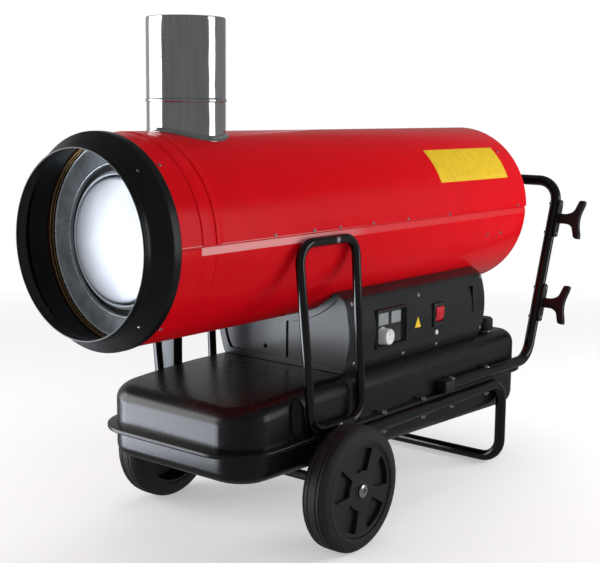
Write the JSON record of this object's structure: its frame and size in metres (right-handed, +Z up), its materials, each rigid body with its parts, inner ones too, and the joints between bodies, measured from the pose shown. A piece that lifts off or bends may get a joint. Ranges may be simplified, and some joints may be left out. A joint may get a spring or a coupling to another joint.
{
  "type": "indirect diesel forced air heater",
  "caption": "Wheeled indirect diesel heater: round hot air barrel with a flue over a flat fuel tank, side controls, push handle, guard hoops and cord hooks.",
  "frame": {"origin": "on the ground, under the middle of the overall box", "axes": "+Z up; -Y towards the hot air outlet, +Y towards the push handle; +X towards the control side"},
  "size_m": [0.5892, 1.4304, 1.037],
  "materials": {
    "red_paint": "gloss",
    "black_enamel": "semi gloss",
    "black_tube": "gloss",
    "grey_black_paint": "satin",
    "stainless": "polished",
    "aluminized_steel": "bright",
    "heated_steel": "heat tinted",
    "zinc_steel": "zinc plated",
    "cast_aluminium": "as cast",
    "brass": "plain",
    "ceramic": "glazed ceramic",
    "tyre_rubber": "matt",
    "black_plastic": "matt",
    "white_plastic": "smooth",
    "red_plastic": "gloss",
    "circuit_board": "solder mask"
  },
  "bodies": {
    "heater": {"front_shell_upper": "red_paint", "main_shell_upper": "red_paint", "rear_shell_upper": "red_paint", "front_shell_lower": "red_paint", "main_shell_lower": "red_paint", "outlet_ring": "black_enamel", "heat_shield_liner": "heated_steel", "heat_exchanger": "aluminized_steel", "exchanger_pad_front": "zinc_steel", "exchanger_pad_rear": "zinc_steel", "combustion_chamber": "stainless", "crossover_duct": "stainless", "chamber_dome": "aluminized_steel", "flue_spigot": "stainless", "flue_pipe": "stainless", "burner_tube": "stainless", "burner_flange": "cast_aluminium", "flame_diffuser": "stainless", "fuel_nozzle": "brass", "ignition_electrode_left": "ceramic", "ignition_electrode_right": "ceramic", "fuel_pump": "cast_aluminium", "fan_motor": "cast_aluminium", "motor_bracket": "zinc_steel", "rear_guard": "black_tube", "tank_upper": "black_enamel", "tank_lower": "black_enamel", "filler_neck": "zinc_steel", "housing_front_plate": "grey_black_paint", "housing_rear_cover": "grey_black_paint", "side_panel_near": "grey_black_paint", "side_panel_far": "grey_black_paint", "control_bezel": "black_plastic", "rocker_frame": "black_plastic", "power_inlet": "black_plastic", "ignition_transformer": "black_plastic", "control_board": "circuit_board", "fuel_filter": "zinc_steel", "fuel_line": "brass", "axle_cap_near": "stainless", "axle_cap_far": "stainless", "axle": "zinc_steel", "base_frame": "black_tube", "push_handle": "black_tube", "handle_end_cap_near": "black_plastic", "handle_end_cap_far": "black_plastic", "guard_hoop_near": "black_tube", "guard_hoop_far": "black_tube", "hoop_stay_far": "grey_black_paint", "cord_hook_lower": "black_plastic", "cord_hook_upper": "black_plastic"},
    "wheel_near": {"tyre_near": "tyre_rubber", "wheel_rim_near": "black_plastic"},
    "wheel_far": {"tyre_far": "tyre_rubber", "wheel_rim_far": "black_plastic"},
    "fan_wheel": {"fan": "cast_aluminium"},
    "knob": {"thermostat_knob": "white_plastic"},
    "rocker": {"rocker_switch": "red_plastic"},
    "reset": {"reset_button": "white_plastic"},
    "tank_cap": {"fuel_cap": "black_plastic"}
  },
  "joints": [
    {"name": "wheel_near_spin", "type": "hinge", "parent": "heater", "child": "wheel_near", "pos_m": [0.26, -0.2502, 0.1267], "axis": [1, 0, 0], "continuous": true},
    {"name": "wheel_far_spin", "type": "hinge", "parent": "heater", "child": "wheel_far", "pos_m": [-0.26, -0.2502, 0.1267], "axis": [1, 0, 0], "continuous": true},
    {"name": "fan_spin", "type": "hinge", "parent": "heater", "child": "fan_wheel", "pos_m": [0, 0.4198, 0.63], "axis": [0, 1, 0], "continuous": true},
    {"name": "thermostat_turn", "type": "hinge", "parent": "heater", "child": "knob", "pos_m": [0.18, -0.0332, 0.39], "axis": [-1, 0, 0], "range_deg": [0, 270]},
    {"name": "switch_rock", "type": "hinge", "parent": "heater", "child": "rocker", "pos_m": [0.184, 0.1798, 0.41], "axis": [0, -1, 0], "range_deg": [0, 16]},
    {"name": "reset_press", "type": "slide", "parent": "heater", "child": "reset", "axis": [-1, 0, 0], "range_m": [0, 0.003], "stiffness_N_per_m": 300},
    {"name": "fuel_cap_lift", "type": "slide", "parent": "heater", "child": "tank_cap", "axis": [0, 0, 1], "range_m": [0, 0.05]}
  ]
}
